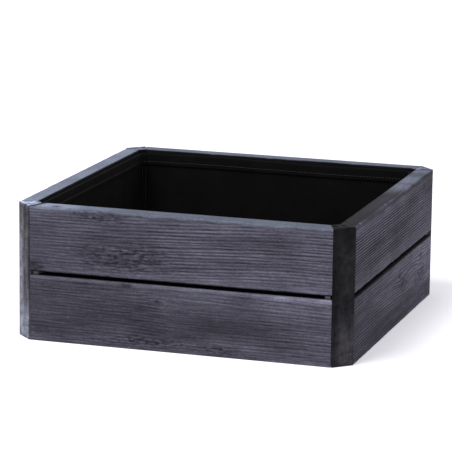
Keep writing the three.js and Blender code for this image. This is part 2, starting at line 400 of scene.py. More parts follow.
def mark_grain(piece, timber, axes, covered=None, grounded=True):
    """Writes the grain, knots, tone, bleaching, fraying and pith on a piece's points, for its finish to read.
    The tone carries the painted shade, and the bleaching carries the sky's sheen painted on the top.
    The axes are the one along the grain, the one in from the outer face and the one across the grain."""
    mesh = piece.data
    places = np.empty(len(mesh.vertices) * 3, np.float32)
    mesh.vertices.foreach_get("co", places)
    places = places.reshape(-1, 3)
    along, depth, across = places.T[list(axes)]
    level = places[:, 2]
    height, knot = relief(timber, along, depth, across)
    tone, bleach_and_sheen = weathered_and_painted_light(timber, along, depth, across, level)
    tone, bleach_and_sheen = streaked(timber, along, across, tone, bleach_and_sheen)
    tone, bleach_and_sheen = nicked(timber, along, depth, across, tone, bleach_and_sheen)
    painted_shade = painted_shade_share(timber, depth, level, covered, grounded)
    # The tone is darkened where shade is painted: inside, along the ground and at the course gap
    marks = {
        "grain": height, "knot": knot, "fray": frayed(timber, along, across),
        "tone": tone * (1 - PAINTED_SHADE_DARKENS * painted_shade), "bleach_and_sheen": bleach_and_sheen * (1 - painted_shade),
    }
    for name, values in marks.items():
        layer = mesh.attributes.new(name, "FLOAT", "POINT")
        layer.data.foreach_set("value", values.astype(np.float32))
    pith = np.zeros((len(along), 3), np.float32)
    pith[:, axes[1]], pith[:, axes[2]] = timber["pith"]
    layer = mesh.attributes.new("pith", "FLOAT_VECTOR", "POINT")
    layer.data.foreach_set("vector", pith.ravel())


SHARP_EDGE = math.radians(42)


def settle(piece, place, turn, finish, body, cad_node):
    """Shades a piece, puts it in its place in the planter and lets it stand for its CAD node."""
    piece.data.shade_smooth()
    piece.data.set_sharp_from_angle(angle=SHARP_EDGE)
    piece.data.materials.clear()
    piece.data.materials.append(finish)
    piece.matrix_world = Matrix.Translation(place) @ Matrix.Rotation(turn, 4, "Z")
    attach(piece, body)
    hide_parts(cad_node)


def fill(tree, made, inputs):
    """Links each of a shader node's inputs to a socket, or sets it to a value."""
    for key, value in dict(inputs).items():
        if isinstance(value, bpy.types.NodeSocket):
            tree.links.new(value, made.inputs[key])
        else:
            made.inputs[key].default_value = value


def node(tree, kind, inputs=(), **settings):
    """A shader node with its settings and inputs."""
    made = tree.nodes.new("ShaderNode" + kind)
    for key, value in settings.items():
        setattr(made, key, value)
    fill(tree, made, inputs)
    return made


def blank_finish(name):
    """A new material, its node tree and the shader of its surface."""
    finish = bpy.data.materials.new(name)
    finish.use_nodes = True
    return finish, finish.node_tree, finish.node_tree.nodes["Principled BSDF"]


def attribute(tree, name, output="Fac"):
    """What was marked on a piece's points under that name."""
    return node(tree, "Attribute", attribute_name=name).outputs[output]


def noise(tree, place, scale, **inputs):
    """Noise with that many waves to the metre."""
    return node(tree, "TexNoise", {"Vector": place, "Scale": scale, **inputs}).outputs["Fac"]


def drawn_noise(tree, place, lengthwise, along, across, **inputs):
    """Noise drawn out lengthwise, with that many waves to the metre along the grain and across it."""
    scale = across + (along - across) * lengthwise
    drawn = node(tree, "Mapping", {"Vector": place, "Scale": scale}).outputs["Vector"]
    return noise(tree, drawn, 1.0, **inputs)


def spread(tree, value, low, high, to_low=0.0, to_high=1.0):
    """A value between low and high, spread over another range."""
    return node(tree, "MapRange", {
        "Value": value, "From Min": low, "From Max": high, "To Min": to_low, "To Max": to_high,
    }).outputs["Result"]


def mix(tree, share, first, second):
    """A value that goes from the first to the second as the share goes from 0 to 1."""
    return node(tree, "Mix", {"Factor": share, "A": first, "B": second}).outputs["Result"]


def mix_colours(tree, share, first, second):
    """A colour that goes from the first to the second as the share goes from 0 to 1."""
    return node(tree, "MixRGB", {"Fac": share, "Color1": first, "Color2": second}).outputs["Color"]


def ramp(tree, value, low_colour, high_colour, low=0.0, high=1.0):
    """A colour that changes as a value climbs from low to high."""
    made = node(tree, "ValToRGB", {"Fac": value})
    for index, (colour, position) in enumerate(((low_colour, low), (high_colour, high))):
        made.color_ramp.elements[index].color = colour
        made.color_ramp.elements[index].position = position
    return made.outputs["Color"]


def reckon(tree, operation, *terms, clamp=False):
    """The result of an operation on values."""
    return node(tree, "Math", dict(enumerate(terms)), operation=operation, use_clamp=clamp).outputs["Value"]


def reckon_vector(tree, operation, *terms, output="Vector"):
    """The result of an operation on vectors."""
    return node(tree, "VectorMath", dict(enumerate(terms)), operation=operation).outputs[output]


def bumped(tree, height, strength, depth):
    """A surface's direction with a fine relief of that depth on it."""
    return node(tree, "Bump", {"Height": height, "Strength": strength, "Distance": depth}).outputs["Normal"]


NOISE_RANGE = (0.3, 0.7)
CUT_FACING = (0.55, 0.8)


def rings_on_cuts(tree, place, lengthwise, ring):
    """How far across its growth ring each point lies, and whether the surface cuts across the grain."""
    from_pith = reckon_vector(tree, "SUBTRACT", place["Object"], attribute(tree, "pith", "Vector"))
    across = reckon_vector(tree, "MULTIPLY", from_pith, 1 - lengthwise)
    radius = reckon_vector(tree, "LENGTH", across, output="Value")
    part = reckon(tree, "FRACT", reckon(tree, "MULTIPLY", radius, 1 / ring))
    turned = reckon_vector(tree, "DOT_PRODUCT", place["Normal"], lengthwise, output="Value")
    cut = spread(tree, reckon(tree, "ABSOLUTE", turned), *CUT_FACING)
    return part, cut


def stained_wood(name, length_axis, ring, colours, fibrous, patch, patchy, shine):
    """Brushed softwood under a dark water stain: darker in the hollows and knots, streaked along the fibres,
    weathered paler on top with the sky's sheen painted over it, with the growth rings showing on cuts across
    the grain. The stain has taken unevenly, in patches of the given size, with a fine grit over them. The
    colours are those of the hollows, the ribs, the knots and the bleached top, which also paints the sky's
    sheen."""
    finish, tree, surface = blank_finish(name)
    hollow, crest, knot_colour, bleached_sheen_colour = ((*colour, 1) for colour in colours)
    lengthwise = np.array(length_axis)
    place = node(tree, "TexCoord").outputs
    at = place["Object"]

    fibre = drawn_noise(tree, at, lengthwise, along=20.0, across=540.0, Detail=5.0, Roughness=0.65)
    streak = spread(tree, fibre, *NOISE_RANGE)
    part, cut = rings_on_cuts(tree, place, lengthwise, ring)
    ringed = mix(tree, cut, attribute(tree, "grain"), part)
    lifted = mix(tree, fibrous, ringed, streak)
    brushed = ramp(tree, lifted, hollow, crest, low=0.12, high=0.78)

    patchily = spread(tree, fibre, low=0.3, high=0.6, to_low=0.6)
    bleached_and_sheen = reckon(tree, "MULTIPLY", attribute(tree, "bleach_and_sheen"), patchily, clamp=True)
    aged_with_sheen = mix_colours(tree, bleached_and_sheen, brushed, bleached_sheen_colour)
    fleck = drawn_noise(tree, at, lengthwise, along=100.0, across=300.0, Detail=2.0)
    hole = spread(tree, fleck, low=0.52, high=0.38)
    pit = reckon(tree, "MULTIPLY", hole, attribute(tree, "fray"), clamp=True)
    pitted = mix_colours(tree, pit, aged_with_sheen, hollow)

    blotch = noise(tree, at, 1 / patch, Detail=4.0, Roughness=0.6)
    uneven = spread(tree, blotch, *NOISE_RANGE, to_low=1 - patchy, to_high=1 + patchy)
    grit = drawn_noise(tree, at, lengthwise, along=280.0, across=620.0, Detail=1.0)
    dusty = spread(tree, grit, *NOISE_RANGE, to_low=0.8, to_high=1.2)
    mottled = reckon(tree, "MULTIPLY", uneven, dusty)
    strength = reckon(tree, "MULTIPLY", attribute(tree, "tone"), mottled)
    toned = node(tree, "VectorMath", {0: pitted, "Scale": strength}, operation="SCALE").outputs["Vector"]
    dark = spread(tree, attribute(tree, "knot"), low=0.1, high=1.0, to_high=0.8)
    fill(tree, surface, {
        "Base Color": mix_colours(tree, dark, toned, knot_colour),
        "Roughness": spread(tree, fibre, *NOISE_RANGE, to_low=0.64, to_high=0.86),
        "Normal": bumped(tree, fibre, strength=0.5, depth=0.8 * MM),
        "Specular IOR Level": shine,
    })
    return finish


def in_metres(rows, sizes):
    """Rows of values, with the first few of each, which are sizes, turned from millimetres into metres."""
    return [(*(value * MM for value in row[:sizes]), *row[sizes:]) for row in rows]


def post_timber(seed, pith, ring, brushed, tone, top_weather_and_light, ribbed=1.0, streaks=()):
    """One post's timber from sizes in millimetres: its pith as (depth, across), its rings' width, how deep it
    is brushed and how strongly ribbed it then is, the tone of its foot and its head, and how pale and in what
    tone its top is, the paleness being weathering with the sky's sheen painted over it. A streak has its
    middle across the face, its width, the heights it runs between, its change to the tone and its bleaching."""
    return dict(
        seed=seed, pith=(pith[0] * MM, pith[1] * MM), ring=ring * MM, brushed=brushed * MM, tone=tone,
        top_weather_and_light=[(0, *top_weather_and_light)], ribbed=[(0, ribbed)], streaks=in_metres(streaks, 4),
        bends=[(0, 0.012)], flames=[], knots=[], frays=[], smooth=[], nicks=[], waver=0.7, jog=0, unequal=0,
        stretch=46 * MM, worn=1 * MM, ends=(1, 1),
    )


POST_FACE_STEP = 1.0 * MM
POST_SIDE_STEP = 3.0 * MM
POST_STEP = 5.0 * MM
POST_ARRIS = 1.0 * MM
POST_TIMBER = {
    "front_right": post_timber(
        101, pith=(90, 10), ring=9, brushed=0.15, tone=(0.485, 0.155), top_weather_and_light=(0, 0.8),
        streaks=[(0, 40, 80, 165, -0.35, 0), (-20, 4, -40, 300, 0.5, 0)],
    ),
    "back_right": post_timber(
        102, pith=(40, -50), ring=8, brushed=0.3, tone=(1.0, 1.1), top_weather_and_light=(0.85, 1.1), ribbed=0.6,
    ),
    "back_left": post_timber(
        103, pith=(45, 40), ring=8, brushed=0.3, tone=(0.9, 1.0), top_weather_and_light=(0.8, 1), ribbed=0.6,
    ),
    "front_left": post_timber(
        104, pith=(46, -34), ring=13, brushed=0.35, tone=(1.85, 1.5), top_weather_and_light=(1, 2.8), ribbed=0.6,
        streaks=[
            (-16, 10, -40, 185, 0.7, 0.2), (17, 9, 75, 250, -0.4, 0), (4, 22, -40, 62, 0.1, 0.45),
            (0, 30, 195, 260, -0.3, 0),
        ],
    ),
}
POST_PLACES = {"front_right": (1, -1), "back_right": (1, 1), "back_left": (-1, 1), "front_left": (-1, -1)}
# The last colour, a pale blue grey, is the bleached top, and paints the sky's sheen on it too
POST_COLOURS = (
    (0.025, 0.023, 0.027), (0.114, 0.109, 0.123), (0.012, 0.012, 0.014), (0.165, 0.190, 0.250),
)
post_finish = stained_wood(
    "stained_post", (0, 0, 1), 5 * MM, POST_COLOURS, fibrous=0.28, patch=15 * MM, patchy=0.55, shine=0.05,
)


def corner_post(timber):
    """A post, drawn with its outer face on y = 0 and the middle of that face on x = 0."""
    outer, inner = POST_OUTER_FACE / 2, POST_INNER_FACE / 2
    outline, outward, room = rounded_outline(
        [(-outer, 0), (outer, 0), (inner, BOARD_THICKNESS), (-inner, BOARD_THICKNESS)],
        [POST_ARRIS] * 4,
        [POST_FACE_STEP, POST_SIDE_STEP, POST_SIDE_STEP, POST_SIDE_STEP],
    )
    height, inset = eased_stations(RIM, POST_STEP, POST_ARRIS)
    raised, _ = relief(timber, height[:, None], outline[None, :, 1], outline[None, :, 0])
    worn = timber["brushed"] * (1 - raised)
    drawn = np.minimum(inset[:, None] + worn, room)
    plan = outline - outward * drawn[..., None]
    loops = np.concatenate([plan, np.broadcast_to(height[:, None, None], (*plan.shape[:2], 1))], axis=2)
    post = loft("post", loops)
    for side in (-1, 1):
        groove = beside_mitre(dovetail(-OVERRUN, SLIDE_CLEARANCE), POST_MIDDLE, -1, side)
        carve(post, prism(groove, GROOVE_STOP, RIM + OVERRUN), "DIFFERENCE")
    return post


for quarter, (corner, (x, y)) in enumerate(POST_PLACES.items()):
    post = corner_post(POST_TIMBER[corner])
    post.name = f"post_{corner}"
    mark_grain(post, POST_TIMBER[corner], (2, 1, 0))
    reach = HALF_WIDTH - CORNER_LEG / 2
    settle(
        post, Vector((x * reach, y * reach, 0)), math.pi / 4 + quarter * math.pi / 2,
        post_finish, "corner_posts", f"corner_post_{corner}",
    )


# Lower boards
# Four thick softwood boards, brushed until the hard grain stands up, then stained charcoal grey.
# Their ends are mitred, and each carries a dovetail tongue that slides down a post's groove.

BOARD_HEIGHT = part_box("upper_board_front")[1].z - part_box("upper_board_front")[0].z
MITRE_GAP = 0.6 * MM
BOARD_EASE = 4.5 * MM
EDGE_EASE = 2 * MM
BOARD_END_EASE = 1.6 * MM
BOARD_FACE_STEP = 1.1 * MM
BOARD_SIDE_STEP = 3.0 * MM
BOARD_STEP = 5.0 * MM
BOARD_BRUSHED = 0.9 * MM
BRUSHED_ASIDE = 0.15
KNOCK_SPACING = 13 * MM
KNOCK_DEPTH = 0.5 * MM
CHIP_DEPTH = 4 * MM
CHIP_RARITY = 0.78
BOARD_END = HALF_WIDTH - CORNER_LEG - MITRE_GAP / math.cos(MITRE)
TONGUE_FOOT = GROOVE_STOP + SLIDE_CLEARANCE
TONGUE_SETBACK = 1 * MM
TONGUE_TOP = BOARD_HEIGHT - TONGUE_SETBACK
PEG_DIAMETER = 5 * MM
PEG_DEPTH = 22 * MM
PEG_SIDES = 32
SPACER_WIDTH = 9 * MM
SPACER_INSET = 1.5 * MM
SIDES = ("front", "right", "back", "left")
# The last colour, a pale blue grey, is the bleached top, and paints the sky's sheen on it too
BOARD_COLOURS = (
    (0.021, 0.020, 0.030), (0.182, 0.176, 0.228), (0.014, 0.014, 0.017), (0.150, 0.176, 0.236),
)
board_finish = stained_wood(
    "stained_board", (1, 0, 0), 6.2 * MM, BOARD_COLOURS, fibrous=0.42, patch=38 * MM, patchy=0.12, shine=0.06,
)


def board_timber(
    seed, ring, pith, tone, waver=0.25, unequal=0.42, stretch=80, ribbed=((0, 0.75),), smooth=(6, 6),
    bends=(), flames=(), knots=(), frays=(), top_weather_and_light=((0, 0.7, 1),), worn=1.5, painted_shade=(2, 3), ends=(1, 1),
    streaks=(), nicks=(),
):
    """One board's timber from sizes in millimetres: its rings' width, its pith as (depth, height), and the
    tone of its two ends. The rings waver, are unequal and come and go in stretches. The rest is in rows:
    ribbed: a place along the board and how strongly it is ribbed there
    smooth: the widths of the smooth bands along its bottom and its top
    bends: a place where the grain starts to climb, and the slope
    flames: start, height, width and length of a long pointed figure
    knots: place, height, reach, rise, and how much it draws the rings in
    frays: place, height, reach and rise of a frayed patch
    top_weather_and_light: a place, and how pale and in what tone the top is there, as far down as worn says;
    the paleness is weathering with the sky's sheen painted over it, and the dark tones paint shadows and the
    shade in the joints
    painted_shade: how far from the course gap its painted shade reaches, and the depth at which it starts
    ends: the change of tone at the two mitred ends, darker as painted shade in the joint, paler as a painted
    highlight on the end's arris
    streaks: height, width, start, end, change of tone and bleaching
    nicks: place, depth, height, reach and change of tone"""
    return dict(
        seed=seed, ring=ring * MM, pith=(pith[0] * MM, pith[1] * MM), tone=tone, waver=waver, unequal=unequal,
        stretch=stretch * MM, ribbed=in_metres(ribbed, 1), jog=0.8,
        smooth=[(0, smooth[0] * MM), (BOARD_HEIGHT, smooth[1] * MM)],
        bends=in_metres(bends, 1), flames=in_metres(flames, 4), knots=in_metres(knots, 4),
        frays=in_metres(frays, 4), top_weather_and_light=in_metres(top_weather_and_light, 1), worn=worn * MM,
        painted_shade=(painted_shade[0] * MM, painted_shade[1] * MM), ends=ends,
        streaks=in_metres(streaks, 4), nicks=in_metres(nicks, 4),
    )


def end_at(depth, back):
    """Half a board's length at a depth behind its outer face, moved back from its mitred end."""
    return BOARD_END - depth * math.tan(MITRE) - back / math.cos(MITRE)


def peg_outline(side, radius):
    """A round outline at the peg's place near a board's end."""
    middle = side * end_at(BOARD_THICKNESS / 2, SPACER_INSET + SPACER_WIDTH / 2)
    turns = np.arange(PEG_SIDES) * 2 * math.pi / PEG_SIDES
    return np.column_stack([middle + radius * np.cos(turns), BOARD_THICKNESS / 2 + radius * np.sin(turns)])


def side_board(timber, foot, hole_at_top):
    """A board, drawn with its outer face on y = 0, its length along x and its bottom on z = 0."""
    outline, outward, room = rounded_outline(
        [(0, BOARD_HEIGHT), (0, 0), (BOARD_THICKNESS, 0), (BOARD_THICKNESS, BOARD_HEIGHT)],
        [BOARD_EASE, foot, EDGE_EASE, EDGE_EASE],
        [BOARD_FACE_STEP, BOARD_SIDE_STEP, BOARD_SIDE_STEP, BOARD_SIDE_STEP],
    )
    length = 2 * BOARD_END
    along, inset = eased_stations(length, BOARD_STEP, BOARD_END_EASE)
    raised, _ = relief(timber, (along - BOARD_END)[:, None], outline[None, :, 0], outline[None, :, 1])
    facing_out = np.clip(-outward[:, 0], 0, 1)
    brushed = BOARD_BRUSHED * (BRUSHED_ASIDE + (1 - BRUSHED_ASIDE) * facing_out)
    worn = brushed * np.maximum(1 - raised, 0)
    arris = 2 * np.abs(outward[:, 0] * outward[:, 1])
    knocks = smooth_noise(timber["seed"] + 6, along / KNOCK_SPACING, np.zeros(len(along)))
    chipped = KNOCK_DEPTH * knocks + CHIP_DEPTH * np.clip(knocks - CHIP_RARITY, 0, 1)
    drawn = np.minimum(inset[:, None] + worn + arris * chipped[:, None], room)
    section = outline - outward * drawn[..., None]
    end = BOARD_END - section[..., 0] * math.tan(MITRE)
    left = -end + np.minimum(along, BOARD_END_EASE)[:, None]
    right = end - np.minimum(length - along, BOARD_END_EASE)[:, None]
    share = np.clip((along - BOARD_END_EASE) / (length - 2 * BOARD_END_EASE), 0, 1)[:, None]
    x = left * (1 - share) + right * share
    board = loft("board", np.concatenate([x[..., None], section], axis=2))
    face_middle = HALF_WIDTH - CORNER_LEG - BOARD_THICKNESS / 2 * math.tan(MITRE)
    hole_depth = PEG_DEPTH + SLIDE_CLEARANCE
    if hole_at_top:
        bottom, top = BOARD_HEIGHT - hole_depth, BOARD_HEIGHT + OVERRUN
    else:
        bottom, top = -OVERRUN, hole_depth
    for side in (-1, 1):
        tongue = beside_mitre(dovetail(-MITRE_GAP - TONGUE_NECK / 2, 0), face_middle, 1, side)
        carve(board, prism(tongue, TONGUE_FOOT, TONGUE_TOP), "UNION")
        hole = peg_outline(side, PEG_DIAMETER / 2 + SLIDE_CLEARANCE)
        carve(board, prism(hole, bottom, top), "DIFFERENCE")
    return board


def panel_place(quarter, height):
    """Where a side's board frame sits in the planter."""
    turn = quarter * math.pi / 2
    return Vector((HALF_WIDTH * math.sin(turn), -HALF_WIDTH * math.cos(turn), height))


# Where a board's ends darken its tone they paint the shade in the joint, and where they lighten it, a
# highlight on the end's arris
LOWER_TIMBER = {
    "front": board_timber(
        11, ring=5.2, pith=(50, -170), tone=(0.45, 0.95), waver=0.2, smooth=(4, 8), worn=3.2,
        ends=(0.45, 0.4),
        ribbed=[(-269, 0.35), (-60, 0.48), (60, 0.3), (120, 0.3), (190, 0.55), (269, 0.6)],
        bends=[(-300, 0.015)], flames=[(-37, 87, 5, 170)], knots=[(-37, 87, 6, 4, 0.8)],
        frays=[(60, 12, 45, 8), (-60, 14, 80, 10)], top_weather_and_light=[(-269, 0.2, 1), (269, 0.25, 1.4)],
        # The two pale streaks along the top arris paint the highlight that lies on it under the course gap
        streaks=[
            (48, 22, 10, 185, -0.35, 0), (45, 30, -90, 60, -0.12, 0), (98, 15, -85, 60, 0.25, 0),
            (96, 15, 140, 300, 0.15, 0), (7, 12, -400, 50, 0.3, 0), (60, 70, -400, -240, 0.35, 0),
            (113, 4.5, -400, 400, 0.25, 0), (111, 5, 165, 400, 0.5, 0),
        ],
        nicks=[
            (-264, 1, 23, 1.2, 0.6), (-264, 1, 14, 1.2, 0.6), (-98, 2, 111, 3, -0.7), (-88, 2, 110, 3, -0.7),
        ],
    ),
    "right": board_timber(
        12, ring=4.7, pith=(50, -150), tone=(0.53, 1.74), waver=0.3, unequal=0.3, stretch=120,
        ribbed=[(-269, 1.25), (-60, 1.1), (80, 0.95), (269, 1.1)], painted_shade=(3.5, 0.6), ends=(1.5, 0.9),
        flames=[(50, 80, 6, 170)], knots=[(38, 86, 9, 8, 0.5), (191, 91, 8, 8, 0.5)],
        frays=[(58, 72, 36, 13), (190, 60, 45, 16)], top_weather_and_light=[(0, 0, 1)],
        streaks=[(22, 32, -150, 400, -0.42, 0)],
    ),
    "back": board_timber(
        13, ring=5.4, pith=(60, 280), tone=(0.75, 0.9), bends=[(-100, 0.02)], knots=[(90, 70, 9, 9, 0.8)],
        frays=[(-120, 30, 60, 20)],
    ),
    "left": board_timber(
        14, ring=5.2, pith=(60, -190), tone=(0.85, 0.75), bends=[(0, -0.02)], knots=[(-120, 40, 8, 8, 0.8)],
        frays=[(100, 80, 50, 18)],
    ),
}

for quarter, side in enumerate(SIDES):
    board = side_board(LOWER_TIMBER[side], EDGE_EASE, hole_at_top=True)
    board.name = f"lower_plank_{side}"
    mark_grain(board, LOWER_TIMBER[side], (0, 1, 2), covered=BOARD_HEIGHT)
    settle(
        board, panel_place(quarter, 0), quarter * math.pi / 2,
        board_finish, f"lower_{side}", f"lower_board_{side}",
    )


# Course spacers
# Small moulded plastic pads with a fluted peg through them, one near each end of a lower board's top.
# They hold the courses apart, and the pegs line the upper boards up.

COURSE_GAP = RIM - 2 * BOARD_HEIGHT
SPACER_EDGE = 6 * MM
SPACER_CORNER = 1.2 * MM
SPACER_EASE = 0.5 * MM
SPACER_SIDE_STEP = 1.5 * MM
SPACER_STEP = 0.8 * MM
PEG_FLUTES = 8
PEG_FLUTE_DEPTH = 0.3 * MM
PEG_TIP = 1 * MM
PLASTIC_COLOUR = (0.050, 0.049, 0.056, 1)
PLASTIC_SCUFFED = (0.085, 0.084, 0.095, 1)


def moulded_plastic(name):
    """Matt grey moulded plastic with a fine spark-eroded skin and scuffed, slightly paler high spots."""
    finish, tree, surface = blank_finish(name)
    place = node(tree, "TexCoord").outputs["Object"]
    skin = noise(tree, place, scale=2600.0, Detail=2.0)
    scuff = noise(tree, place, scale=240.0, Detail=5.0, Roughness=0.7)
    scuffed = spread(tree, scuff, low=0.45, high=0.75)
    fill(tree, surface, {
        "Base Color": mix_colours(tree, scuffed, PLASTIC_COLOUR, PLASTIC_SCUFFED),
        "Roughness": spread(tree, scuff, low=0.0, high=1.0, to_low=0.42, to_high=0.68),
        "Normal": bumped(tree, skin, strength=0.3, depth=0.1 * MM),
    })
    return finish


spacer_finish = moulded_plastic("grey_plastic")


def course_spacer(side):
    """A spacer in its board's frame, with the board's top on z = 0."""
    near, far = SPACER_INSET, SPACER_INSET + SPACER_WIDTH
    front, rear = SPACER_EDGE, BOARD_THICKNESS - SPACER_EDGE
    corners = [
        (end_at(front, far), front), (end_at(front, near), front),
        (end_at(rear, near), rear), (end_at(rear, far), rear),
    ]
    if side < 0:
        corners = [(-x, y) for x, y in reversed(corners)]
    outline, outward, _ = rounded_outline(corners, [SPACER_CORNER] * 4, [SPACER_SIDE_STEP] * 4)
    height, inset = eased_stations(COURSE_GAP - 2 * SLIDE_CLEARANCE, SPACER_STEP, SPACER_EASE)
    loops = []
    for level, drawn in zip(height + SLIDE_CLEARANCE, inset):
        loops.append(np.column_stack([outline - outward * drawn, np.full(len(outline), level)]))
    pad = loft("pad", np.array(loops))
    turns = np.arange(PEG_SIDES) * 2 * math.pi / PEG_SIDES
    flutes = PEG_FLUTE_DEPTH * (0.5 + 0.5 * np.cos(PEG_FLUTES * turns))[:, None]
    centre = peg_outline(side, 0)
    round_wall = peg_outline(side, PEG_DIAMETER / 2) - centre
    peg = []
    for level, drawn in (
        (-PEG_DEPTH, PEG_TIP), (-PEG_DEPTH + PEG_TIP, 0),
        (COURSE_GAP + PEG_DEPTH - PEG_TIP, 0), (COURSE_GAP + PEG_DEPTH, PEG_TIP),
    ):
        wall = centre + round_wall * (1 - (drawn + flutes) / (PEG_DIAMETER / 2))
        peg.append(np.column_stack([wall, np.full(PEG_SIDES, level)]))
    carve(pad, loft("peg", np.array(peg)), "UNION")
    return pad


for quarter, side in enumerate(SIDES):
    for hand, end in (("a", -1), ("b", 1)):
        spacer = course_spacer(end)
        spacer.name = f"spacer_{side}_{hand}"
        settle(
            spacer, panel_place(quarter, BOARD_HEIGHT), quarter * math.pi / 2,
            spacer_finish, f"lower_{side}", f"course_spacer_{side}_{hand}",
        )


# Upper boards
# The same boards again. Their bottom faces are drilled for the spacers' pegs, and their tongues follow
# those of the lower boards down the same grooves.

UPPER_BOTTOM = RIM - BOARD_HEIGHT
UPPER_TIMBER = {
    "front": board_timber(
        21, ring=5.35, pith=(60, -160), tone=(0.75, 0.96), waver=0.2, smooth=(18, 15), worn=4.5,
        painted_shade=(3.5, 0.6), ends=(0.9, 0.8),
        ribbed=[(-269, 0.5), (-150, 0.75), (0, 0.95), (110, 0.9), (180, 0.68), (269, 0.75)],
        bends=[(-300, -0.014), (-100, -0.036), (190, 0.05)],
        knots=[(-262, 14, 9, 5, 0.3), (-256, 5, 7, 4, 0.2), (-248, 9, 6, 4, 0.2)],
        frays=[(-98, 36, 80, 27), (-148, 103, 52, 9)],
        # The dark tones just inside the left end paint the shade in the open joint at the post
        top_weather_and_light=[
            (-300, 1, 2.6), (-269.7, 1, 2.6), (-269.5, 0, 0.05), (-261.5, 0, 0.08), (-257, 1, 1.75),
            (-190, 0.95, 1.45), (-100, 0.8, 0.92), (269.5, 0.8, 0.76), (269.7, 0, 0.1),
        ],
        streaks=[
            (88, 22, 165, 188, -0.5, 0), (8, 9, -300, -246, -0.6, 0), (109, 1.6, -120, 400, -0.35, 0),
            (112, 3, -258, -185, 0.5, 0.7), (100, 16, -400, -242, 0.25, 0), (80, 26, -70, -10, -0.15, 0),
            (24, 10, 130, 400, 0.15, 0),
        ],
        nicks=[
            (-222, 9, 115, 5, -0.95), (-140, 2, 112, 2, -0.7), (-120, 1, 110, 3, -0.7),
            (-70, 1, 110, 2, -0.7),
        ],
    ),
    "right": board_timber(
        22, ring=4.6, pith=(60, 290), tone=(0.79, 0.87), waver=0.15, unequal=0.15, stretch=140,
        ribbed=[(-269, 2), (80, 1.9), (230, 1.2)], smooth=(30, 28), painted_shade=(3.5, 0.6), ends=(1.3, 0.9),
        knots=[(200, 95, 8, 6, 0.4)],
        # The top is darker over its near half as a painted shadow, and dips dark at the far end as painted
        # shade in the joint
        top_weather_and_light=[
            (-300, 0, 0.1), (-270, 0, 0.12), (-160, 0, 0.25), (20, 0, 0.38), (85, 0.5, 1.1), (262, 0.8, 1.25),
            (267, 0.2, 0.4), (269.5, 0.2, 0.4), (269.7, 0.85, 1),
        ],
        streaks=[(110.5, 3.5, -400, 400, -0.55, 0), (98, 16, 70, 400, -0.35, 0)],
        nicks=[(-236, 3, 114, 2, 2), (-70, 3, 114, 2, 2)],
    ),
    "back": board_timber(
        23, ring=5.3, pith=(60, -150), tone=(0.85, 0.9), smooth=(14, 12), bends=[(50, 0.02)],
        knots=[(-60, 50, 9, 9, 0.8)], frays=[(140, 40, 70, 24)],
    ),
    "left": board_timber(
        24, ring=5.5, pith=(60, 280), tone=(0.9, 0.85), smooth=(14, 12), bends=[(-80, 0.02)],
        knots=[(70, 60, 8, 8, 0.8)], frays=[(-150, 70, 60, 20)], top_weather_and_light=[(0, 0.85, 1.4)],
    ),
}

for quarter, side in enumerate(SIDES):
    board = side_board(UPPER_TIMBER[side], BOARD_EASE, hole_at_top=False)
    board.name = f"upper_plank_{side}"
    mark_grain(board, UPPER_TIMBER[side], (0, 1, 2), covered=0, grounded=False)
    settle(
        board, panel_place(quarter, UPPER_BOTTOM), quarter * math.pi / 2,
        board_finish, f"upper_{side}", f"upper_board_{side}",
    )


# Liner
# A bag of black needle-punched felt, cut from one square, folded up along the walls and sewn at the corners.
# Its top edge is turned in and stitched, and the walls hang a little slack.

LINER_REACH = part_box("liner_bag")[1].x
LINER_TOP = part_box("liner_bag")[1].z
LINER_CORNER = 11.4 * MM
LINER_FOLD = 2 * MM
LINER_SEED = 301
FELT = 2 * MM
FELT_STEP = 6 * MM
# The felt's black is darker than felt is, and paints the deep shade inside the planter
FELT_BLACK_AND_SHADE = (0.0015, 0.0015, 0.0017, 1)
FELT_PALE = (0.007, 0.007, 0.0075, 1)
HEM = 22 * MM
HEM_STEP = 4 * MM
HEM_INSIDE = 2.1 * FELT
HEM_EDGE = 1.8 * FELT
# Over the fold of the hem: the draw inward and the height above the top, in millimetres
HEM_FOLD = ((0.2, -1.2), (0.9, -0.3), (2.1, 0), (3.3, -0.3), (4.0, -1.2))
FOOT_ROUND = 10 * MM
SEAM_STEP = 1 * MM
SEAM_WELT = 1.8 * MM
WELT_WIDTH = 3 * MM
WALL_SLACK = 4 * MM
SLACK_PATCH = (170 * MM, 140 * MM)
WALL_RIPPLE = 0.9 * MM
RIPPLE_PATCH = (26 * MM, 70 * MM)
SLACK_HEIGHT = 0.85
RIM_SAG = 2.5 * MM
RIM_SAG_LENGTH = 110 * MM
RIM_SAG_POWER = 6
FLOOR_CREASE = 1.2 * MM
CREASE_PATCH = (90 * MM, 60 * MM)
CREASE_START = 30
FLOOR_RINGS = 24
FLOOR_MIDDLE = 0.02
THREAD = 0.45 * MM
THREAD_DARK = (0.014, 0.014, 0.015, 1)
THREAD_PALE = (0.045, 0.045, 0.048, 1)
STITCH = 4.2 * MM
STITCH_SIDES = 6
STITCH_STATIONS = (-1, -0.75, 0, 0.75, 1)
STITCH_END = 1.05
STITCH_SPACING = 0.9 * FELT_STEP
HEM_ROW = 3
SEAM_STITCH_PLACE = 4.6 * MM
SEAM_ENDS = 8
UP = (0, 0, 1)


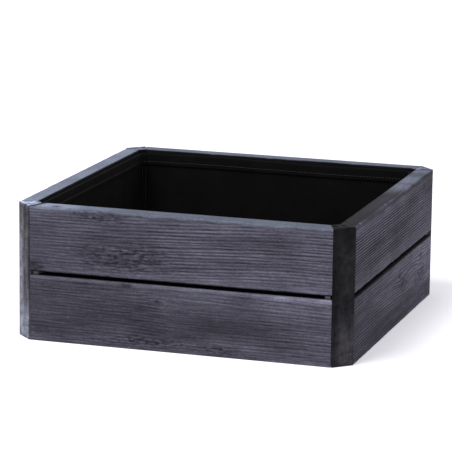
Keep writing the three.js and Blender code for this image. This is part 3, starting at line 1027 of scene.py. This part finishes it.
def felt_finish():
    """Black felt, darkened further as painted shade inside the planter: a mat of short crossed fibres, a few
    of them paler, with no shine.
    """
    finish, tree, surface = blank_finish("black_felt")
    place = node(tree, "TexCoord").outputs["Object"]
    mat = noise(tree, place, scale=900.0, Detail=6.0, Roughness=0.75, Distortion=1.5)
    worn = noise(tree, place, scale=22.0, Detail=3.0)
    mixed = mix(tree, 0.35, mat, worn)
    fill(tree, surface, {
        "Base Color": ramp(tree, mixed, FELT_BLACK_AND_SHADE, FELT_PALE, low=0.35, high=0.72),
        "Normal": bumped(tree, mat, strength=0.6, depth=0.6 * MM),
        "Roughness": 0.95,
        "Specular IOR Level": 0.1,
    })
    return finish


def thread_finish():
    """Dark grey polyester thread, its strands showing as fine slanting bands."""
    finish, tree, surface = blank_finish("grey_thread")
    place = node(tree, "TexCoord").outputs["Object"]
    bands = {"Vector": place, "Scale": 900.0, "Distortion": 1.0}
    strand = node(tree, "TexWave", bands, bands_direction="DIAGONAL").outputs["Fac"]
    fill(tree, surface, {
        "Base Color": ramp(tree, strand, THREAD_DARK, THREAD_PALE),
        "Normal": bumped(tree, strand, strength=0.4, depth=0.1 * MM),
        "Roughness": 0.6,
    })
    return finish


def liner_walls():
    """The bag's loops, from the middle of its underside out, up, over the hem and back in, those of its
    inside wall alone, and how far each point of a loop is from a corner seam."""
    reach, corner = LINER_REACH, LINER_REACH - LINER_CORNER
    corners = [
        (-corner, -reach), (corner, -reach), (reach, -corner), (reach, corner),
        (corner, reach), (-corner, reach), (-reach, corner), (-reach, -corner),
    ]
    outline, outward, _ = rounded_outline(corners, [LINER_FOLD] * 8, [FELT_STEP, SEAM_STEP] * 4)
    steps = np.linalg.norm(np.roll(outline, -1, axis=0) - outline, axis=1)
    around = np.concatenate([[0], np.cumsum(steps)[:-1]])
    from_seam = np.abs(np.abs(outline[:, 0]) - np.abs(outline[:, 1]))
    welt = SEAM_WELT * np.exp(-(from_seam / WELT_WIDTH) ** 2)

    turns = np.linspace(0, math.pi / 2, ARC_STEPS + 1)
    bend = [(FOOT_ROUND * (1 - math.sin(turn)), FOOT_ROUND * (1 - math.cos(turn))) for turn in turns]
    levels = np.arange(FOOT_ROUND, LINER_TOP - FELT, FELT_STEP)[1:]
    outside = bend + [(0, level) for level in levels]
    rim = [(draw * MM, LINER_TOP + rise * MM) for draw, rise in HEM_FOLD]
    hem = [(HEM_INSIDE, LINER_TOP - drop) for drop in np.arange(HEM_STEP, HEM, HEM_STEP)]
    hem += [(HEM_INSIDE, LINER_TOP - HEM), (HEM_EDGE, LINER_TOP - HEM - FELT / 4)]
    inside = [(FELT, level) for level in levels[::-1] if level < LINER_TOP - HEM - FELT / 2]
    inner_bend = 1 - FELT / FOOT_ROUND
    inside += [(draw * inner_bend + FELT, level * inner_bend + FELT) for draw, level in bend[::-1]]

    def wall_ring(draw, level, sewn):
        """A loop drawn inward at a height, with the wall's slack, the rim's sag and, if sewn, the welts."""
        free = math.sqrt(math.sin(math.pi * min(SLACK_HEIGHT * level / LINER_TOP, 1)))
        height = np.full(len(around), level)
        slack = WALL_SLACK * patches(LINER_SEED, around, height, SLACK_PATCH)
        slack = slack + WALL_RIPPLE * patches(LINER_SEED + 1, around, height, RIPPLE_PATCH)
        sagging = smooth_noise(LINER_SEED + 2, around / RIM_SAG_LENGTH, np.zeros(len(around)))
        sag = RIM_SAG * (level / LINER_TOP) ** RIM_SAG_POWER * sagging
        plan = outline - outward * (draw + free * slack + (welt if sewn else 0))[:, None]
        return np.column_stack([plan, level - sag])

    def floor_ring(edge, share, lift):
        """A loop of the floor, a share of its edge in size, with the floor's creases."""
        plan = edge[:, :2] * share
        steps = plan / CREASE_PATCH + CREASE_START
        crease = FLOOR_CREASE * smooth_noise(LINER_SEED + 3, steps[:, 0], steps[:, 1])
        return np.column_stack([plan, lift + crease * (1 - share)])

    shares = np.linspace(FLOOR_MIDDLE, 1, FLOOR_RINGS)[:-1]
    rows = [wall_ring(draw, level, False) for draw, level in outside]
    under = [floor_ring(rows[0], share, 0) for share in shares]
    over_hem = [wall_ring(draw, level, False) for draw, level in rim]
    inner = [wall_ring(draw, level, True) for draw, level in hem + inside]
    upper = [floor_ring(inner[-1], share, FELT) for share in shares[::-1]]
    return np.array(under + rows + over_hem + inner + upper), np.array(inner), from_seam


def unit(vector):
    """That direction, one long."""
    return vector / np.linalg.norm(vector)


def hem_stitches(wall):
    """The stitches round the hem, each as its middle, the way it lies and the way it stands up."""
    row = wall[HEM_ROW]
    sewn = []
    last = None
    for here, middle in enumerate(row):
        if last is not None and np.linalg.norm(middle - last) < STITCH_SPACING:
            continue
        last = middle
        lie = unit(row[(here + 1) % len(row)] - row[here - 1])
        sewn.append((middle, lie, np.cross(UP, lie)))
    return sewn


def seam_stitches(wall, from_seam):
    """The stitches up both sides of the corner seams, given as those of the hem are."""
    count = len(from_seam)
    sewn = []
    for here in range(count):
        after = (here + 1) % count
        if (from_seam[here] - SEAM_STITCH_PLACE) * (from_seam[after] - SEAM_STITCH_PLACE) > 0:
            continue
        stand = unit(np.cross(UP, unit(wall[0, after] - wall[0, here])))
        for row in range(SEAM_ENDS, len(wall) - SEAM_ENDS):
            lie = unit(wall[row + 1, here] - wall[row - 1, here])
            sewn.append((wall[row, here], lie, stand))
    return sewn


def sew(name, sewn):
    """The thread of those stitches, each a short arch."""
    points, faces = [], []
    turns = np.arange(STITCH_SIDES) * 2 * math.pi / STITCH_SIDES
    for middle, lie, stand in sewn:
        aside = np.cross(stand, lie)
        faces += skin(len(STITCH_STATIONS), STITCH_SIDES, len(points))
        for share in STITCH_STATIONS:
            centre = middle + lie * share * STITCH / 2 + stand * THREAD * (1 - share * share)
            thick = THREAD * math.sqrt(STITCH_END - share * share)
            for turn in turns:
                points.append(centre + (aside * math.cos(turn) + stand * math.sin(turn)) * thick)
    return mesh_piece(name, [tuple(point) for point in points], faces)


loops, inner_wall, from_seam = liner_walls()
liner = loft("liner_felt", loops)
settle(liner, Vector((0, 0, 0)), 0, felt_finish(), "liner", "liner_bag")
thread = sew("liner_thread", hem_stitches(inner_wall) + seam_stitches(inner_wall, from_seam))
thread.data.shade_smooth()
thread.data.materials.append(thread_finish())
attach(thread, "liner")


# Floor, light and camera
# A plain white floor under a white sky, with one large soft lamp high on the left.
# The camera stands nearly five metres off, a little to the right, and looks slightly down.

bpy.context.scene.view_settings.view_transform = "Standard"

CAMERA_PLACE = Vector((1.437, -4.5557, 1.1791))
CAMERA_DOWN = math.radians(12.034)
CAMERA_ROUND = math.radians(17.645)
CAMERA_ROLL = math.radians(0.713)
IMAGE_WIDTH = 452
FOCAL_PIXELS = 2743.59
lens = bpy.data.cameras.new("camera")
lens.sensor_width = 36.0
lens.lens = lens.sensor_width * FOCAL_PIXELS / IMAGE_WIDTH
camera = bpy.data.objects.new("camera", lens)
bpy.context.scene.collection.objects.link(camera)
aim = Euler((math.pi / 2 - CAMERA_DOWN, 0, CAMERA_ROUND)).to_matrix().to_4x4()
camera.matrix_world = Matrix.Translation(CAMERA_PLACE) @ aim @ Matrix.Rotation(CAMERA_ROLL, 4, "Z")
bpy.context.scene.camera = camera


def seen_directly(tree):
    """1 on the rays that show the background as it is: to the camera, in a reflection or through glass."""
    ray = node(tree, "LightPath").outputs
    shown = ray["Is Camera Ray"]
    for kind in ("Is Glossy Ray", "Is Transmission Ray"):
        shown = reckon(tree, "MAXIMUM", shown, ray[kind])
    return shown


FLOOR_REACH = 8.0
FLOOR_PAINT = (0.86, 0.845, 0.89, 1)
FLOOR_GLOW = (0.97, 0.965, 1.0, 1)
FLOOR_GLOW_STRENGTH = 0.38
FLOOR_CORNERS = ((-1, -1), (1, -1), (1, 1), (-1, 1))
floor = mesh_piece("floor", [(x * FLOOR_REACH, y * FLOOR_REACH, 0) for x, y in FLOOR_CORNERS], [(0, 1, 2, 3)])
white_floor = bpy.data.materials.new("white_floor")
white_floor.use_nodes = True
tree = white_floor.node_tree
tree.nodes.clear()
paint = node(tree, "BsdfDiffuse", {"Color": FLOOR_PAINT}).outputs["BSDF"]
glow = node(tree, "Emission", {"Color": FLOOR_GLOW, "Strength": FLOOR_GLOW_STRENGTH}).outputs["Emission"]
lit = node(tree, "AddShader", {0: paint, 1: glow}).outputs["Shader"]
shown = node(tree, "MixShader", {"Fac": seen_directly(tree), 1: paint, 2: lit}).outputs["Shader"]
node(tree, "OutputMaterial", {"Surface": shown})
floor.data.materials.append(white_floor)

SKY_COLOUR = (0.97, 0.97, 1.0, 1)
SKY_STRENGTH = 0.6
BACKDROP_COLOUR = (1, 1, 1, 1)
world = bpy.data.worlds.new("white_room")
bpy.context.scene.world = world
world.use_nodes = True
tree = world.node_tree
tree.nodes.clear()
sky = node(tree, "Background", {"Color": SKY_COLOUR, "Strength": SKY_STRENGTH}).outputs["Background"]
backdrop = node(tree, "Background", {"Color": BACKDROP_COLOUR, "Strength": 1.0}).outputs["Background"]
shown = node(tree, "MixShader", {"Fac": seen_directly(tree), 1: sky, 2: backdrop}).outputs["Shader"]
node(tree, "OutputWorld", {"Surface": shown})

KEY_PLACE = Vector((-1.5, -2.5, 5.5))
KEY_SIZE = 2.8
KEY_POWER = 275
key = bpy.data.lights.new("key", "AREA")
key.size = KEY_SIZE
key.energy = KEY_POWER
key_lamp = bpy.data.objects.new("key", key)
key_aim = (-KEY_PLACE).to_track_quat("-Z", "Y").to_matrix().to_4x4()
key_lamp.matrix_world = Matrix.Translation(KEY_PLACE) @ key_aim
bpy.context.scene.collection.objects.link(key_lamp)
